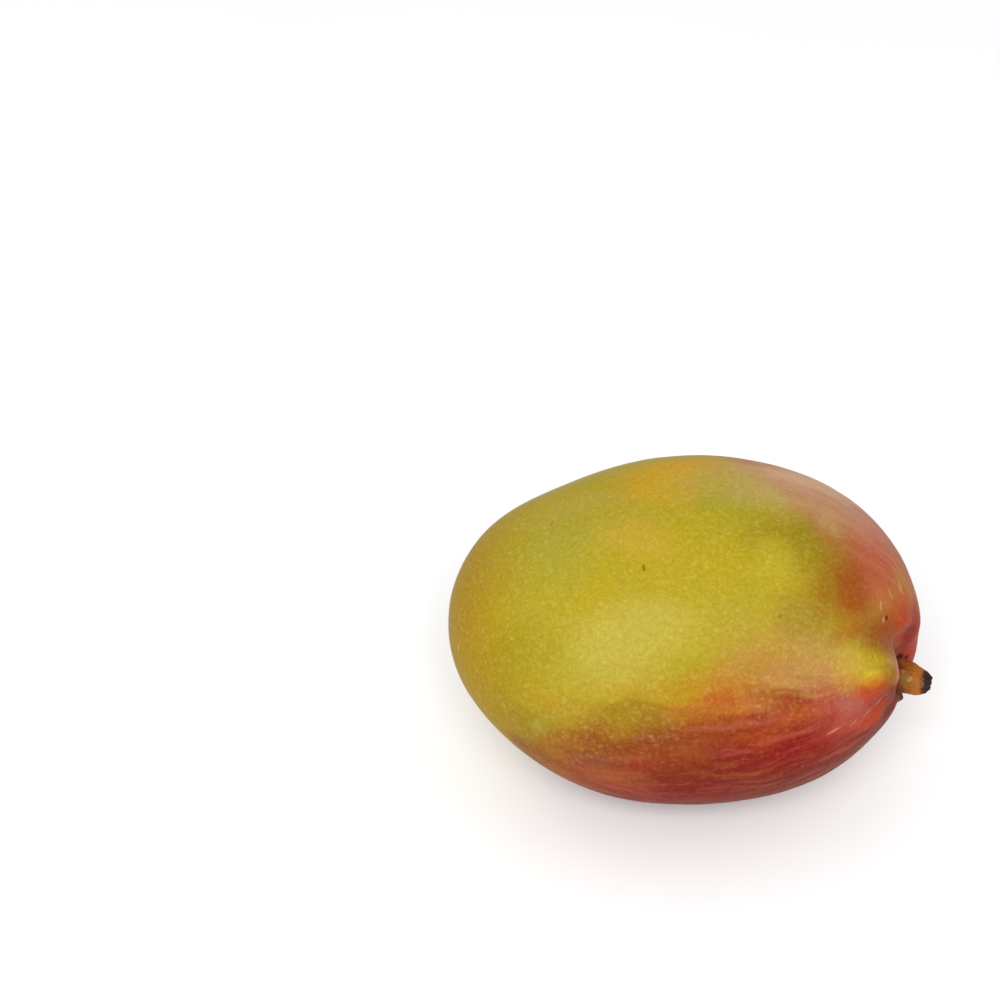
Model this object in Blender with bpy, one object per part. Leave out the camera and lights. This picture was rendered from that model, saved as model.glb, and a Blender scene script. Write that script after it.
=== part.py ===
"""A whole ripe mango, lying on one cheek, with the stub of its stalk.

Units are metres and +Z is up. X runs from the blossom end (-X) to the stalk end (+X), Y from the
belly edge (-Y) to the back edge (+Y), and Z through the two cheeks. The origin is at the bottom
centre of the whole thing, on the surface that it lies on.

The fruit is one closed body: a slightly full ellipsoid, a little thicker towards the stalk, with
relief round the stalk added as a height. The stalk is a second body that stands in a plain
socket in the fruit.
"""

import math

import bpy
import numpy as np
from mathutils import Matrix, Vector

MM = 0.001

# The fruit's overall size, before the relief round the stalk.
LENGTH = 125 * MM
WIDTH = 100 * MM
THICKNESS = 88 * MM

# How the fruit departs from a plain ellipsoid. All are shares of the half size on their axis.
FULLNESS = 2.09  # exponent of the long section: 2 is an ellipse, more is fuller
STALK_END_GIRTH = 0.050  # how much wider the stalk half is
END_NARROWING = -0.033  # how much both ends are drawn in
BACK_SWELL = 0.093  # the back edge is fuller near the stalk, the belly near the blossom end
BACK_CURL = 0.018  # both ends bend towards the back
CHEEK_CURL = 0.026  # both ends rise a little from the table
FLAT_SPOT_DEPTH = 0.7 * MM  # how far the lower cheek is pressed flat

# Slow swells and flats of the outline: the direction from the middle, the reach as a chord on the
# unit ball, and the height.
SWELLS = (
    ((-0.465, 0.535, 0.705), 0.24, -0.85 * MM),
    ((-0.820, 0.380, 0.430), 0.22, 0.5 * MM),
    ((-0.750, -0.480, -0.450), 0.32, -0.6 * MM),
    ((0.080, -0.757, -0.647), 0.30, -0.5 * MM),
    ((0.560, -0.640, -0.520), 0.24, 0.4 * MM),
    ((0.400, 0.594, 0.698), 0.20, -0.3 * MM),
)

# Where the stalk stands, as a direction from the middle of a unit ball that is then stretched to
# the fruit, where the blossom end lies in the same way, which way the stalk points, and on which
# side of it the ridge lies.
STALK_SEAT = (0.930, -0.398, -0.040)
BLOSSOM_END = (-0.986, -0.150, -0.060)
STALK_AXIS = (0.93, -0.33, 0.08)
RIDGE_SIDE = (-0.32, -0.65, 0.68)

# The hollow that the stalk stands in, and the folds of flesh round it.
HOLLOW_DEPTH = 7.4 * MM
HOLLOW_RIDGE_REACH = 11.0 * MM
HOLLOW_FAR_REACH = 8.0 * MM
HOLLOW_UPPER_REACH = 7.2 * MM
HOLLOW_LOWER_REACH = 6.3 * MM
HOLLOW_SHIFT = 3.0 * MM  # how far its middle lies above the stalk's axis
RIDGE_HEIGHT = 2.1 * MM
RIDGE_HALF_WIDTH = 6.0 * MM
RIDGE_FOOT = 4.6 * MM  # the ridge's steep wall starts this far from the stalk's axis
RIDGE_CREST = 7.4 * MM  # and reaches full height here
RIDGE_LENGTH = 20.0 * MM
UPPER_GROOVE_DEPTH = 2.6 * MM
LOWER_GROOVE_DEPTH = 1.3 * MM
GROOVE_WIDTH = 3.2 * MM
GROOVE_OFFSET = 8.6 * MM  # from the ridge's middle line to the groove on either side
GROOVE_LENGTH = 22.0 * MM
SHOULDER_HEIGHT = 0.9 * MM
SHOULDER_PLACE = (-10.5 * MM, -10.8 * MM)  # from the stalk's axis, towards the ridge and down
SHOULDER_RADIUS = 11.0 * MM
PLEATS = 7
PLEAT_HEIGHT = 0.35 * MM
PLEAT_REACH = 2.4  # in hollow radii
RELIEF_WHOLE = 17.0 * MM  # the relief is whole this far back from the stalk's foot
RELIEF_END = 56.0 * MM  # and gone here

# The stalk's stub: how far each ring is from its foot, its radius, and how far its middle lies
# off the axis, away from the ridge's upper side.
STALK_RINGS = (
    (0.0, 4.40, 0.0),
    (1.8, 4.50, 0.0),
    (3.6, 4.45, 0.0),
    (5.6, 4.30, 0.0),
    (7.6, 4.15, 0.1),
    (9.4, 3.70, 0.4),
    (11.0, 3.05, 0.6),
    (12.1, 2.40, 0.8),
    (12.5, 1.50, 0.9),
)
STALK_LOBES = 5
STALK_LOBE_SHARE = 0.045
STALK_SIDES = 24
STALK_SINK = 1.8 * MM  # how deep the stalk's foot is below the bottom of the hollow
SOCKET_GAP = 0.3 * MM
CUTTER_HEIGHT = 15.0  # in mm, past the ridge

FRUIT_SIDES = 72
FRUIT_RINGS = 48
RING_CROWDING = 1.25  # above 1 the rings lie closer together near the stalk
SURVEY_STEPS = 181  # steps each way in the search for the lowest point


def unit(vector):
    vector = np.asarray(vector, float)
    return vector / np.linalg.norm(vector, axis=-1, keepdims=True)


def smoothstep(low, high, value):
    share = np.clip((value - low) / (high - low), 0, 1)
    return share * share * (3 - 2 * share)


def bell(distance, width):
    return np.exp(-((distance / width) ** 2))


def directions(turn, around):
    """Points on a unit ball, turn radians from the stalk's seat and around radians about it."""
    ball = np.stack(
        [np.cos(turn), np.sin(turn) * np.sin(around), np.sin(turn) * np.cos(around)], -1
    )
    to_stalk = ((1 + ball[..., :1]) / 2) ** 2
    to_blossom = ((1 - ball[..., :1]) / 2) ** 2
    ball = ball + to_stalk * (np.array(STALK_SEAT) - (1, 0, 0))
    ball = ball + to_blossom * (np.array(BLOSSOM_END) - (-1, 0, 0))
    return unit(ball)


def plain_fruit(ball):
    """The fruit without its relief, for points on a unit ball. Its centre is at 0."""
    across = np.hypot(ball[..., 1], ball[..., 2])
    size = (np.abs(ball[..., 0]) ** FULLNESS + across**FULLNESS) ** (1 / FULLNESS)
    along, back, up = np.moveaxis(ball / size[..., None], -1, 0)
    girth = 1 + STALK_END_GIRTH * along + END_NARROWING * along**2
    y = back * girth * (1 + BACK_SWELL * along * back) + BACK_CURL * along**2
    z = up * girth + CHEEK_CURL * along**2
    return np.stack([along * LENGTH / 2, y * WIDTH / 2, z * THICKNESS / 2], -1)


def stalk_frame():
    """The stalk's foot on the plain fruit, and three unit vectors: out, ridge and low side."""
    foot = plain_fruit(unit(STALK_SEAT))
    out = unit(STALK_AXIS)
    ridge = np.array(RIDGE_SIDE)
    ridge = unit(ridge - ridge.dot(out) * out)
    return foot, out, ridge, np.cross(out, ridge)


def stalk_end_relief(points):
    """The height, along the stalk, of the hollow and the folds round it."""
    foot, out, ridge, low = stalk_frame()
    offset = points - foot
    u, v = offset @ ridge, offset @ low
    w = v + HOLLOW_SHIFT
    reach = np.hypot(
        np.where(u > 0, u / HOLLOW_RIDGE_REACH, u / HOLLOW_FAR_REACH),
        np.where(w > 0, w / HOLLOW_LOWER_REACH, w / HOLLOW_UPPER_REACH),
    )

    hollow = -HOLLOW_DEPTH * bell(reach, 1)
    past_crest = np.maximum(u - RIDGE_CREST, 0)
    crest = smoothstep(RIDGE_FOOT, RIDGE_CREST, u) * bell(past_crest, RIDGE_LENGTH)
    nose = RIDGE_HEIGHT * crest * bell(v, RIDGE_HALF_WIDTH)
    upper = UPPER_GROOVE_DEPTH * bell(v + GROOVE_OFFSET, GROOVE_WIDTH)
    lower = LOWER_GROOVE_DEPTH * bell(v - GROOVE_OFFSET, GROOVE_WIDTH)
    grooves = -(upper + lower) * smoothstep(0, RIDGE_CREST, u) * bell(u, GROOVE_LENGTH)
    from_shoulder = np.hypot(u - SHOULDER_PLACE[0], v - SHOULDER_PLACE[1])
    shoulder = SHOULDER_HEIGHT * bell(from_shoulder, SHOULDER_RADIUS)
    ring = smoothstep(0, 1, reach) * bell(reach, PLEAT_REACH)
    pleats = PLEAT_HEIGHT * ring * np.cos(PLEATS * np.arctan2(v, u))
    fade = smoothstep(-RELIEF_END, -RELIEF_WHOLE, offset @ out)
    return fade * (hollow + nose + grooves + shoulder + pleats)


def swell_height(ball):
    """The height of the slow swells, for points on a unit ball."""
    return sum(
        height * bell(np.linalg.norm(ball - unit(place), axis=-1), reach)
        for place, reach, height in SWELLS
    )


def flat_spot_level():
    """The height at which the lower cheek is flat."""
    turn = np.linspace(0, math.pi, SURVEY_STEPS)
    around = np.linspace(0, 2 * math.pi, SURVEY_STEPS)
    lowest = plain_fruit(directions(*np.meshgrid(turn, around)))[..., 2].min()
    return lowest + FLAT_SPOT_DEPTH


def fruit_surface(ball):
    """The finished surface, for points on a unit ball."""
    plain = plain_fruit(ball)
    surface = plain + stalk_end_relief(plain)[..., None] * unit(STALK_AXIS)
    surface = surface + swell_height(ball)[..., None] * ball
    surface[..., 2] = np.maximum(surface[..., 2], flat_spot_level())
    return surface


def closed_rings(name, rings, start, end):
    """An object made of rings of points, closed by one point at each end."""
    count, sides = rings.shape[:2]
    points = [tuple(start), *map(tuple, rings.reshape(-1, 3)), tuple(end)]
    last = len(points) - 1
    faces = []
    for side in range(sides):
        nearby = (side + 1) % sides
        faces.append((0, 1 + nearby, 1 + side))
        for ring in range(count - 1):
            a = 1 + ring * sides
            faces.append((a + side, a + nearby, a + sides + nearby, a + sides + side))
        a = 1 + (count - 1) * sides
        faces.append((a + side, a + nearby, last))
    mesh = bpy.data.meshes.new(name)
    mesh.from_pydata(points, [], faces)
    mesh.shade_smooth()
    thing = bpy.data.objects.new(name, mesh)
    bpy.context.scene.collection.objects.link(thing)
    return thing


def material(name, colour, roughness):
    made = bpy.data.materials.new(name)
    made.use_nodes = True
    shader = made.node_tree.nodes["Principled BSDF"]
    shader.inputs["Base Color"].default_value = (*colour, 1)
    shader.inputs["Roughness"].default_value = roughness
    shader.inputs["Metallic"].default_value = 0
    return made


def make_fruit():
    turn = math.pi * (np.arange(1, FRUIT_RINGS) / FRUIT_RINGS) ** RING_CROWDING
    around = 2 * math.pi * np.arange(FRUIT_SIDES) / FRUIT_SIDES
    rings = fruit_surface(directions(*np.meshgrid(turn, around, indexing="ij")))
    ends = fruit_surface(np.array([unit(STALK_SEAT), unit(BLOSSOM_END)]))
    fruit = closed_rings("fruit", rings, *ends)
    fruit.data.materials.append(material("mango_skin", (0.52, 0.40, 0.07), 0.45))
    return fruit


def stalk_body(name, profile, lobe_share):
    """A closed body round the stalk's axis, from (height, radius, offset) rings in millimetres.

    Its own Z axis is the stalk's, its X axis is on the ridge's side, and Z = 0 is the foot.
    """
    around = 2 * math.pi * np.arange(STALK_SIDES) / STALK_SIDES
    rings = []
    for height, radius, offset in profile:
        lobed = radius * (1 + lobe_share * np.cos(STALK_LOBES * around))
        rings.append(
            np.stack(
                [lobed * np.cos(around), lobed * np.sin(around) + offset, 0 * around + height], -1
            )
        )
    rings = np.array(rings) * MM
    return closed_rings(name, rings, rings[0].mean(0), rings[-1].mean(0))


def stand_at_foot(thing, sink):
    """Puts the body's Z = 0 on the stalk's axis, sink below the bottom of the hollow."""
    foot, out, ridge, low = stalk_frame()
    bottom = foot + (stalk_end_relief(foot) - sink) * out
    axes = Matrix((ridge, low, out)).transposed()
    thing.matrix_world = Matrix.Translation(Vector(bottom)) @ axes.to_4x4()


def make_stalk():
    stalk = stalk_body("stalk", STALK_RINGS, STALK_LOBE_SHARE)
    stand_at_foot(stalk, STALK_SINK)
    stalk.data.materials.append(material("dry_stalk", (0.30, 0.15, 0.04), 0.7))
    return stalk


def cut_socket(fruit):
    """Cuts the plain round socket, a little wider and deeper than the stalk's lower end."""
    radius = max(ring[1] for ring in STALK_RINGS) * (1 + STALK_LOBE_SHARE) + SOCKET_GAP / MM
    profile = ((0.0, radius, 0.0), (CUTTER_HEIGHT, radius, 0.0))
    cutter = stalk_body("socket_cutter", profile, 0)
    stand_at_foot(cutter, STALK_SINK + SOCKET_GAP)
    cutter.hide_render = True
    cutter.display_type = "WIRE"
    cut = fruit.modifiers.new("socket", "BOOLEAN")
    cut.operation = "DIFFERENCE"
    cut.solver = "EXACT"
    cut.object = cutter
    return cutter


def stand_on_origin(things, helpers):
    """Parents everything to one empty, placed so that the origin is at the bottom centre."""
    corners = np.array(
        [thing.matrix_world @ vertex.co for thing in things for vertex in thing.data.vertices]
    )
    low, high = corners.min(0), corners.max(0)
    root = bpy.data.objects.new("mango", None)
    bpy.context.scene.collection.objects.link(root)
    for thing in (*things, *helpers):
        thing.parent = root
    root.location = (-(low[0] + high[0]) / 2, -(low[1] + high[1]) / 2, -low[2])


def main():
    for thing in list(bpy.data.objects):
        bpy.data.objects.remove(thing)
    fruit = make_fruit()
    stalk = make_stalk()
    cutter = cut_socket(fruit)
    bpy.context.view_layer.update()
    stand_on_origin((fruit, stalk), (cutter,))


main()
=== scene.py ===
# %% [markdown]
# # Dressing a ripe mango
#
# The measured model of a mango is plain: a smooth solid with the right size, a hollow and a ridge
# at the stalk end, and a stub of stalk. This lesson gives it a skin. We build the same form again
# with far more points, add the small relief that a real fruit has, and then mix a material for it
# from soft patches of colour, a red blush, pale dots and fine marks.
#
# Run the cells from top to bottom. Lengths are in metres unless a name ends in `_mm`.

import math

import bpy
import numpy as np
from mathutils import Euler, Matrix, Vector, noise


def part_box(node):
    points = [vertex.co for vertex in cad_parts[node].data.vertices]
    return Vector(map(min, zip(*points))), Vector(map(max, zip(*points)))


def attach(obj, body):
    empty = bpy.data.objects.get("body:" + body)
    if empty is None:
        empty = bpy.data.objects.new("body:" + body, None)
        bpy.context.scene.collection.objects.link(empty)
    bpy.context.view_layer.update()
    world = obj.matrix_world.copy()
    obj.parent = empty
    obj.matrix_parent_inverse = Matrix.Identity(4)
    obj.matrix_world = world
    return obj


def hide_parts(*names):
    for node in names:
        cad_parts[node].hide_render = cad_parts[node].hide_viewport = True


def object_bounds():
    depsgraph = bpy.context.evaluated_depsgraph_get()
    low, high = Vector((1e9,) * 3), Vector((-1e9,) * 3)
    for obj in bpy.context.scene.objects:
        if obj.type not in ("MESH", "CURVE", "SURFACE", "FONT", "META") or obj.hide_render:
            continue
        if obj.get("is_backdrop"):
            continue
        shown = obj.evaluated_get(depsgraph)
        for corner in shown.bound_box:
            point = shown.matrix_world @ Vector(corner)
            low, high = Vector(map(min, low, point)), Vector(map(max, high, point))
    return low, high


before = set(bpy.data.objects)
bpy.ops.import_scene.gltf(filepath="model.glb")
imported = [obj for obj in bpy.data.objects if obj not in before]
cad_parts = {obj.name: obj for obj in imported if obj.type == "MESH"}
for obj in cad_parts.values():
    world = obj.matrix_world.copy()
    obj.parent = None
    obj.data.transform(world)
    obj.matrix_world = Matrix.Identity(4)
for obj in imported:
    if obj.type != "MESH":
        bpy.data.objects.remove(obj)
measured_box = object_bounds()
MM = 0.001
print("nodes:", sorted(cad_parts), "box:", measured_box)

# %% [markdown]
# ## Three small tools for shapes
#
# A fruit has no straight lines, so nearly every form here is a sum of soft bumps. `bell` is one
# such bump: 1 in its middle and close to 0 beyond its width. `smoothstep` goes from 0 to 1 without
# a corner at either end. `unit` gives a direction its length of 1.

# %% Tools for soft forms


def unit(vector):
    vector = np.asarray(vector, float)
    return vector / np.linalg.norm(vector, axis=-1, keepdims=True)


def smoothstep(low, high, value):
    share = np.clip((value - low) / (high - low), 0, 1)
    return share * share * (3 - 2 * share)


def bell(distance, width):
    return np.exp(-((distance / width) ** 2))


print("a bell one width from its middle is", round(float(bell(1, 1)), 3))

# %% [markdown]
# ## Where the points of the skin lie
#
# You could start from a UV sphere, but its poles would sit in the wrong places. A mango has two
# natural poles, the stalk and the blossom end, and neither is quite on its long axis. So we make
# our own rings of directions that start at the stalk's seat and end at the blossom end. The fine
# folds are near the stalk, so the rings crowd together there.

# %% Directions from the middle of the fruit
STALK_SEAT = (0.930, -0.398, -0.040)
BLOSSOM_END = (-0.986, -0.150, -0.060)
FRUIT_SIDES = 264
FRUIT_RINGS = 330
RING_CROWDING = 1.25


def directions(turn, around):
    ball = np.stack(
        [np.cos(turn), np.sin(turn) * np.sin(around), np.sin(turn) * np.cos(around)], -1
    )
    to_stalk = ((1 + ball[..., :1]) / 2) ** 2
    to_blossom = ((1 - ball[..., :1]) / 2) ** 2
    ball = ball + to_stalk * (np.array(STALK_SEAT) - (1, 0, 0))
    ball = ball + to_blossom * (np.array(BLOSSOM_END) - (-1, 0, 0))
    return unit(ball)


turn = math.pi * (np.arange(1, FRUIT_RINGS) / FRUIT_RINGS) ** RING_CROWDING
around = 2 * math.pi * np.arange(FRUIT_SIDES) / FRUIT_SIDES
skin_directions = directions(*np.meshgrid(turn, around, indexing="ij"))
end_directions = np.array([unit(STALK_SEAT), unit(BLOSSOM_END)])
print("directions:", skin_directions.shape)

# %% [markdown]
# ## The big form
#
# Seen from above, this mango is nearly an ellipse, a little fuller, wider towards the stalk, with
# a full back shoulder. Those are small changes to an ellipsoid, so we keep the ellipsoid and bend
# it. The numbers are the measured model's own, so that the fine skin lies where the solid is.

# %% The fruit without its folds
LENGTH, WIDTH, THICKNESS = 125 * MM, 100 * MM, 88 * MM
FULLNESS = 2.09
STALK_END_GIRTH = 0.050
END_NARROWING = -0.033
BACK_SWELL = 0.093
BACK_CURL = 0.018
CHEEK_CURL = 0.026


def plain_fruit(ball):
    across = np.hypot(ball[..., 1], ball[..., 2])
    size = (np.abs(ball[..., 0]) ** FULLNESS + across**FULLNESS) ** (1 / FULLNESS)
    along, back, up = np.moveaxis(ball / size[..., None], -1, 0)
    girth = 1 + STALK_END_GIRTH * along + END_NARROWING * along**2
    y = back * girth * (1 + BACK_SWELL * along * back) + BACK_CURL * along**2
    z = up * girth + CHEEK_CURL * along**2
    return np.stack([along * LENGTH / 2, y * WIDTH / 2, z * THICKNESS / 2], -1)


plain = plain_fruit(skin_directions)
print("plain form, mm:", np.round((plain.max((0, 1)) - plain.min((0, 1))) / MM, 1))

# %% [markdown]
# ## Slow swells and flats
#
# No fruit is as even as a formula. The eye notices that at the outline first, so a few wide, very
# low swells are laid over the form. Each is a direction, a reach and a height.

# %% Slow swells
# direction, reach, height
SWELLS = (
    ((-0.465, 0.535, 0.705), 0.24, -0.85 * MM),
    ((-0.820, 0.380, 0.430), 0.22, 0.5 * MM),
    ((-0.750, -0.480, -0.450), 0.32, -0.6 * MM),
    ((0.080, -0.757, -0.647), 0.30, -0.5 * MM),
    ((0.560, -0.640, -0.520), 0.24, 0.4 * MM),
    ((0.400, 0.594, 0.698), 0.20, -0.3 * MM),
)


def swell_height(ball):
    return sum(
        height * bell(np.linalg.norm(ball - unit(place), axis=-1), reach)
        for place, reach, height in SWELLS
    )


print("swells, mm:", np.round(np.ptp(swell_height(skin_directions)) / MM, 2))

# %% [markdown]
# ## The stalk's own directions
#
# Everything at the stalk end is easiest to describe as seen from the stalk's foot. We need three
# directions there: `out` along the stalk, `ridge` towards the ridge of flesh beside it, and `low`
# at right angles to both. Distances along the last two are called u and v below.

# %% Directions at the stalk's foot
STALK_AXIS = (0.93, -0.33, 0.08)
RIDGE_SIDE = (-0.32, -0.65, 0.68)
foot = plain_fruit(unit(STALK_SEAT))
out = unit(STALK_AXIS)
ridge = np.array(RIDGE_SIDE) - np.dot(RIDGE_SIDE, out) * out
ridge = unit(ridge)
low = np.cross(out, ridge)
print("stalk's foot, mm:", np.round(foot / MM, 1), "points", np.round(out, 2))

# %% [markdown]
# ## The hollow, the ridge and the folds
#
# The stalk stands in a hollow. On the near side a fold of flesh, like the end of a finger, rises
# from it with a steep wall towards the stalk, and a groove runs on either side of that fold. All
# of it is one height added along the stalk's direction. Doing it as a height keeps the skin in one
# piece, with no seam to hide.

# %% Relief of the stalk end
HOLLOW_DEPTH = 7.4 * MM
HOLLOW_RIDGE_REACH, HOLLOW_FAR_REACH = 11.0 * MM, 8.0 * MM
HOLLOW_UPPER_REACH, HOLLOW_LOWER_REACH = 7.2 * MM, 6.3 * MM
HOLLOW_SHIFT = 3.0 * MM
RIDGE_HEIGHT = 2.1 * MM
RIDGE_HALF_WIDTH = 6.0 * MM
RIDGE_FOOT, RIDGE_CREST, RIDGE_LENGTH = 4.6 * MM, 7.4 * MM, 20.0 * MM
UPPER_GROOVE_DEPTH, LOWER_GROOVE_DEPTH = 2.6 * MM, 1.3 * MM
GROOVE_WIDTH, GROOVE_OFFSET, GROOVE_LENGTH = 3.2 * MM, 8.6 * MM, 22.0 * MM
SHOULDER_HEIGHT = 0.9 * MM
SHOULDER_PLACE = (-10.5 * MM, -10.8 * MM)
SHOULDER_RADIUS = 11.0 * MM
PLEATS, PLEAT_HEIGHT, PLEAT_REACH = 7, 0.35 * MM, 2.4
RELIEF_WHOLE, RELIEF_END = 17.0 * MM, 56.0 * MM


def stalk_end_relief(points):
    offset = points - foot
    u, v = offset @ ridge, offset @ low
    w = v + HOLLOW_SHIFT
    reach = np.hypot(
        np.where(u > 0, u / HOLLOW_RIDGE_REACH, u / HOLLOW_FAR_REACH),
        np.where(w > 0, w / HOLLOW_LOWER_REACH, w / HOLLOW_UPPER_REACH),
    )
    hollow = -HOLLOW_DEPTH * bell(reach, 1)
    past_crest = np.maximum(u - RIDGE_CREST, 0)
    crest = smoothstep(RIDGE_FOOT, RIDGE_CREST, u) * bell(past_crest, RIDGE_LENGTH)
    nose = RIDGE_HEIGHT * crest * bell(v, RIDGE_HALF_WIDTH)
    upper = UPPER_GROOVE_DEPTH * bell(v + GROOVE_OFFSET, GROOVE_WIDTH)
    lower = LOWER_GROOVE_DEPTH * bell(v - GROOVE_OFFSET, GROOVE_WIDTH)
    grooves = -(upper + lower) * smoothstep(0, RIDGE_CREST, u) * bell(u, GROOVE_LENGTH)
    from_shoulder = np.hypot(u - SHOULDER_PLACE[0], v - SHOULDER_PLACE[1])
    shoulder = SHOULDER_HEIGHT * bell(from_shoulder, SHOULDER_RADIUS)
    ring = smoothstep(0, 1, reach) * bell(reach, PLEAT_REACH)
    pleats = PLEAT_HEIGHT * ring * np.cos(PLEATS * np.arctan2(v, u))
    fade = smoothstep(-RELIEF_END, -RELIEF_WHOLE, offset @ out)
    return fade * (hollow + nose + grooves + shoulder + pleats)


print("hollow at the stalk, mm:", round(float(stalk_end_relief(foot)) / MM, 2))

# %% [markdown]
# ## Slow waves of the skin
#
# Close to, no skin is as smooth as the solid: it waves gently. A bump in the material could
# suggest that, but the outline would stay as clean as a formula. So the waves are real relief, in
# two sizes. Python's `noise` gives the same waves on every run.

# %% Waves
# length, height
WAVES = ((9.0 * MM, 0.10 * MM), (2.6 * MM, 0.030 * MM))


def wave_height(points):
    flat = points.reshape(-1, 3)
    height = np.zeros(len(flat))
    for length, tall in WAVES:
        height += [tall * noise.noise(Vector(point / length)) for point in flat]
    return height.reshape(points.shape[:-1])


print("waves, mm:", np.round(np.ptp(wave_height(plain[::4, ::4])) / MM, 2))

# %% [markdown]
# ## Wrinkles, pits and cork
#
# The skin wrinkles finely where it dives into the hollow. It has pits where it was pricked, and
# corky lumps where the stalk tore it. They are too small for the solid, but they catch the light.
# You could sculpt them by hand. A table of small bells does it too, and each row can still be
# moved. A pit's place is measured from the fruit's middle, and the cork's is u and v.

# %% Wrinkles, pits and cork
WRINKLE_HEIGHT, WRINKLE_REACH = 0.035 * MM, 9 * MM
WRINKLES_ROUND, WRINKLES_OUTWARD = 7, 60
STALK_END_DEPTH = -0.03
# place in mm, radius in mm, height in mm
PITS = (
    ((49.1, -20.9, 21.3), 0.75, -0.28),
    ((57.5, -12.4, 10.4), 0.80, -0.12),
    ((-13.2, -21.5, 38.4), 0.60, -0.08),
    ((-59.4, -14.1, 5.6), 0.90, 0.16),
    ((29.8, -38.8, -18.1), 0.55, -0.18),
)
# (u, v) in mm, radius in mm, height in mm
CORK = (
    ((-7.6, 5.2), 1.1, 1.00),
    ((-4.8, 5.0), 1.3, 1.10),
    ((-2.0, 5.4), 1.0, 0.65),
    ((0.4, 4.9), 1.0, 0.75),
    ((2.6, 5.0), 0.9, 0.45),
    ((4.6, 4.2), 0.8, 0.35),
    ((10.2, 5.0), 0.8, 0.30),
    ((11.4, 6.4), 0.7, 0.25),
    ((-5.2, -5.3), 0.7, -0.80),
    ((-7.4, -5.4), 0.7, -0.70),
    ((-6.3, -5.9), 0.6, 0.30),
)


def wrinkle_noise(u, v):
    """Noise that changes quickly away from the stalk and slowly round it."""
    far = np.hypot(u, v)
    spread = [WRINKLES_ROUND * u / far, WRINKLES_ROUND * v / far, WRINKLES_OUTWARD * far]
    flat = np.stack(spread, -1).reshape(-1, 3)
    heights = np.array([noise.noise(Vector(point)) for point in flat])
    return heights.reshape(u.shape)


def small_relief(points):
    offset = points - foot
    u, v, ahead = offset @ ridge, offset @ low, offset @ out
    at_stalk_end = ahead > STALK_END_DEPTH
    reach = np.hypot(u, v) / WRINKLE_REACH
    ring = smoothstep(0.3, 0.8, reach) * bell(reach, 1.3) * at_stalk_end
    height = WRINKLE_HEIGHT * ring * wrinkle_noise(u, v)
    for place, radius, tall in PITS:
        away = np.linalg.norm(points - np.array(place) * MM, axis=-1)
        height = height + tall * MM * bell(away, radius * MM)
    for (pu, pv), radius, tall in CORK:
        away = np.hypot(u - pu * MM, v - pv * MM)
        height = height + tall * MM * bell(away, radius * MM) * at_stalk_end
    return height


print("small relief, mm:", np.round(np.ptp(small_relief(plain)) / MM, 2))

# %% [markdown]
# ## The finished skin
#
# The heights are added one after the other, and last the lower cheek is pressed flat where it
# rests. The flat must be the lowest place of the fruit, or it would rock, so it comes after all
# the relief.

# %% The fruit's surface
FLAT_SPOT_DEPTH = 0.7 * MM
flat_level = plain[..., 2].min() + FLAT_SPOT_DEPTH


def fruit_surface(ball):
    form = plain_fruit(ball)
    surface = form + stalk_end_relief(form)[..., None] * out
    surface = surface + swell_height(ball)[..., None] * ball
    surface = surface + (small_relief(surface) + wave_height(surface))[..., None] * ball
    surface[..., 2] = np.maximum(surface[..., 2], flat_level)
    return surface


skin_points = fruit_surface(skin_directions)
end_points = fruit_surface(end_directions)
print("skin points:", skin_points[..., 0].size)

# %% [markdown]
# ## From points to a mesh
#
# Rings of points become a mesh in the same way for the fruit and for its stalk: quads between
# neighbouring rings and a fan of triangles at each end. The order of the corners decides which side
# of a face is the outside.

# %% Rings to mesh


def closed_rings(name, rings, start, end):
    count, sides = rings.shape[:2]
    points = [tuple(start), *map(tuple, rings.reshape(-1, 3)), tuple(end)]
    last = len(points) - 1
    faces = []
    for side in range(sides):
        nearby = (side + 1) % sides
        faces.append((0, 1 + nearby, 1 + side))
        for ring in range(count - 1):
            a = 1 + ring * sides
            faces.append((a + side, a + nearby, a + sides + nearby, a + sides + side))
        a = 1 + (count - 1) * sides
        faces.append((a + side, a + nearby, last))
    mesh = bpy.data.meshes.new(name)
    mesh.from_pydata(points, [], faces)
    mesh.shade_smooth()
    thing = bpy.data.objects.new(name, mesh)
    bpy.context.scene.collection.objects.link(thing)
    return thing


print("faces the fruit will have:", FRUIT_RINGS * FRUIT_SIDES)

# %% [markdown]
# ## Put the fruit in its place
#
# The measured fruit stands in the scene already. Our skin was built round its own middle, so we
# find where that middle is: the two boxes must agree. The object's origin stays at the middle, so
# that a material can measure from it.

# %% The fruit
fruit = closed_rings("mango_fruit", skin_points, end_points[0], end_points[1])
low_corner, high_corner = (np.array(corner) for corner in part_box("fruit"))
skin_low, skin_high = skin_points.min((0, 1)), skin_points.max((0, 1))
middle = (low_corner + high_corner - skin_low - skin_high) / 2
middle[2] = low_corner[2] - skin_low[2]
fruit.location = middle
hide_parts("fruit")
print("fruit's middle, mm:", np.round(middle / MM, 2), "faces:", len(fruit.data.polygons))

# %% [markdown]
# ## The stub of the stalk
#
# What is left of the stalk is a dry, five-sided stub: thick where it leaves the hollow, tapering
# to a dark end that broke off at a slant. A spin of one profile would make it perfectly round. We
# keep the profile, as a table of heights and radii, and build each ring ourselves, so that the
# rings can have five lobes and lean to one side. Smooth values between the rows come from `eased`.

# %% The stalk's profile
# height in mm, radius in mm, how far the ring is off the middle in mm
STALK_PROFILE = (
    (0.0, 4.40, 0.0),
    (1.8, 4.50, 0.0),
    (3.6, 4.45, 0.0),
    (5.6, 4.30, 0.0),
    (7.6, 4.15, 0.1),
    (9.4, 3.70, 0.4),
    (11.0, 3.15, 0.6),
    (11.9, 2.70, 0.7),
    (12.5, 2.00, 0.8),
)


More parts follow.
